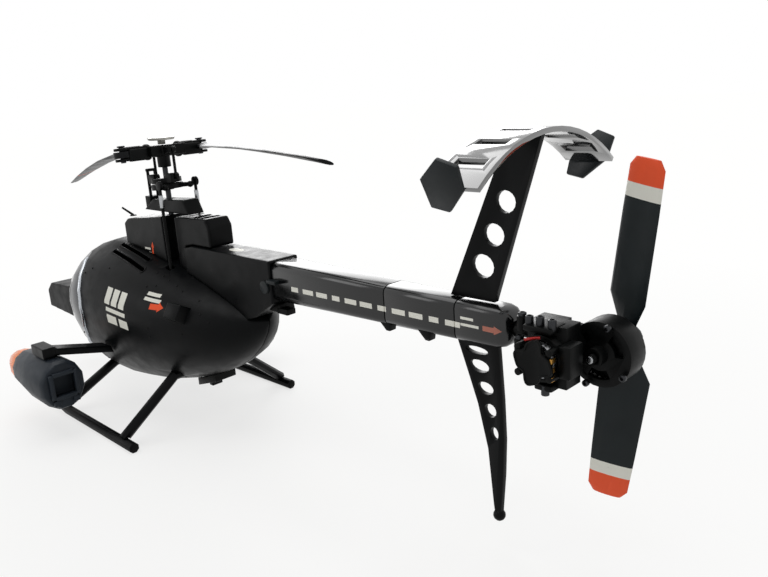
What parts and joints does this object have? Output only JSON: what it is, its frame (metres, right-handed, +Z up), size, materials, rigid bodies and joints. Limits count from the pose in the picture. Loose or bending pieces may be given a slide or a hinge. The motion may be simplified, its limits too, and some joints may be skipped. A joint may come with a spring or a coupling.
{
  "type": "remote control helicopter",
  "caption": "Toy helicopter with an egg-shaped body on skids, side pods, folding rotor on a tilting swash plate, slim boom, swept fins, curved stabiliser and a driven tail rotor.",
  "frame": {"origin": "centre of the outer box in X and Y, on the ground under the skids", "axes": "+X to the left (port) side, +Y to the tail, +Z up"},
  "size_m": [0.1076, 0.294, 0.1115],
  "materials": {
    "black_gloss": "semi-gloss moulded plastic",
    "black_satin": "satin moulded nylon",
    "slate": "satin slate grey plastic",
    "window": "tinted clear plastic",
    "orange": "glossy orange plastic",
    "nylon_white": "natural nylon",
    "board_green": "circuit board",
    "battery_wrap": "shrink sleeve",
    "steel": "bright steel"
  },
  "bodies": {
    "airframe": {"fuselage_left_shell": "black_gloss", "fuselage_right_shell": "black_gloss", "nose_canopy": "window", "nose_sensor_housing": "black_satin", "belly_block": "black_gloss", "chassis_frame": "black_satin", "main_motor": "steel", "battery_pack": "battery_wrap", "control_board": "board_green", "servo_left": "black_satin", "servo_right": "black_satin", "cowling_front": "black_gloss", "cowling_rear": "black_gloss", "mast_housing": "black_gloss", "whip_antenna": "black_satin", "boom_fairing": "black_gloss", "tail_boom_front": "black_gloss", "tail_boom_rear": "black_gloss", "tail_cone": "black_gloss", "upper_fin": "black_gloss", "lower_fin": "black_gloss", "stabilizer": "black_gloss", "endplate_left": "black_satin", "endplate_right": "black_satin", "tail_shaft_tube": "black_satin", "tail_motor_housing": "black_satin", "tail_motor": "steel", "tail_gear_housing": "black_satin", "anti_rotation_guide": "black_satin", "skid_left": "black_gloss", "skid_right": "black_gloss", "cross_tube_front": "black_gloss", "cross_tube_rear": "black_gloss", "pylon_left": "black_gloss", "pylon_right": "black_gloss", "pod_left": "slate", "pod_right": "slate", "pod_nose_left": "orange", "pod_nose_right": "orange"},
    "rotor": {"mast": "steel", "main_gear": "nylon_white", "rotor_hub": "black_satin", "head_button": "black_satin"},
    "motor_pinion": {"main_pinion": "steel"},
    "swash_ball": {"swash_ball": "black_satin"},
    "swash_ring": {"swash_lower_ring": "black_satin"},
    "swash_rotating_ring": {"swash_upper_ring": "black_satin"},
    "holder": {"blade_holder": "black_gloss", "blade_bolt_left": "steel", "blade_bolt_right": "steel"},
    "link_rear": {"rotor_link_rear": "black_satin"},
    "link_front": {"rotor_link_front": "black_satin"},
    "blade_left": {"main_blade_left": "black_satin"},
    "blade_right": {"main_blade_right": "black_satin"},
    "rod_left": {"servo_rod_left": "steel"},
    "rod_right": {"servo_rod_right": "steel"},
    "tail_rotor": {"tail_gear": "black_satin", "tail_rotor": "black_satin"},
    "tail_motor_pinion": {"tail_pinion": "steel"},
    "switch_knob": {"power_switch": "black_satin"}
  },
  "joints": [
    {"name": "main_rotor_spin", "type": "hinge", "parent": "airframe", "child": "rotor", "pos_m": [0, -0.04005, 0.06], "axis": [0, 0, 1], "continuous": true},
    {"name": "main_pinion_spin", "type": "hinge", "parent": "airframe", "child": "motor_pinion", "pos_m": [0, -0.05715, 0.048], "axis": [0, 0, 1], "continuous": true},
    {"name": "swash_pitch", "type": "hinge", "parent": "airframe", "child": "swash_ball", "pos_m": [0, -0.04005, 0.0913], "axis": [1, 0, 0], "range_deg": [-12.5, 3.5]},
    {"name": "swash_roll", "type": "hinge", "parent": "swash_ball", "child": "swash_ring", "pos_m": [0, -0.04005, 0.0913], "axis": [0, 0.9969, 0.0785], "range_deg": [-8, 8]},
    {"name": "swash_spin", "type": "hinge", "parent": "swash_ring", "child": "swash_rotating_ring", "pos_m": [0, -0.04005, 0.0913], "axis": [0, -0.0785, 0.9969], "continuous": true},
    {"name": "holder_feather", "type": "hinge", "parent": "rotor", "child": "holder", "pos_m": [0, -0.04005, 0.1038], "axis": [1, 0, 0], "range_deg": [-12.5, 3.5]},
    {"name": "rear_link_swing", "type": "hinge", "parent": "holder", "child": "link_rear", "pos_m": [0, -0.03287, 0.10436], "axis": [1, 0, 0], "range_deg": [-3.5, 12.5]},
    {"name": "front_link_swing", "type": "hinge", "parent": "holder", "child": "link_front", "pos_m": [0, -0.04723, 0.10323], "axis": [1, 0, 0], "range_deg": [-3.5, 12.5]},
    {"name": "left_blade_fold", "type": "hinge", "parent": "holder", "child": "blade_left", "pos_m": [0.016, -0.04005, 0.1038], "axis": [0, -0.0785, 0.9969], "range_deg": [-8, 112]},
    {"name": "right_blade_fold", "type": "hinge", "parent": "holder", "child": "blade_right", "pos_m": [-0.016, -0.04005, 0.1038], "axis": [0, -0.0785, 0.9969], "range_deg": [-8, 112]},
    {"name": "left_rod_slide", "type": "slide", "parent": "airframe", "child": "rod_left", "axis": [0, 0, 1], "range_m": [-0.0016, 0.00045]},
    {"name": "right_rod_slide", "type": "slide", "parent": "airframe", "child": "rod_right", "axis": [0, 0, 1], "range_m": [-0.0018, 0.0006]},
    {"name": "tail_rotor_spin", "type": "hinge", "parent": "airframe", "child": "tail_rotor", "pos_m": [-0.0128, 0.13835, 0.0614], "axis": [1, 0, 0], "continuous": true},
    {"name": "tail_pinion_spin", "type": "hinge", "parent": "airframe", "child": "tail_motor_pinion", "pos_m": [0, 0.13007, 0.06198], "axis": [1, 0, 0], "continuous": true},
    {"name": "switch_slide", "type": "slide", "parent": "airframe", "child": "switch_knob", "axis": [0, 1, 0], "range_m": [0, 0.001]}
  ],
  "couplings": [
    {"joint": "main_pinion_spin", "follows": "main_rotor_spin", "ratio": -6},
    {"joint": "swash_spin", "follows": "main_rotor_spin", "ratio": 1},
    {"joint": "swash_pitch", "follows": "left_rod_slide", "rad_per_m": 133.33},
    {"joint": "holder_feather", "follows": "left_rod_slide", "rad_per_m": 133.33},
    {"joint": "rear_link_swing", "follows": "left_rod_slide", "rad_per_m": -133.33},
    {"joint": "front_link_swing", "follows": "left_rod_slide", "rad_per_m": -133.33},
    {"joint": "right_rod_slide", "follows": "left_rod_slide", "ratio": 1},
    {"joint": "tail_pinion_spin", "follows": "tail_rotor_spin", "ratio": -4}
  ]
}
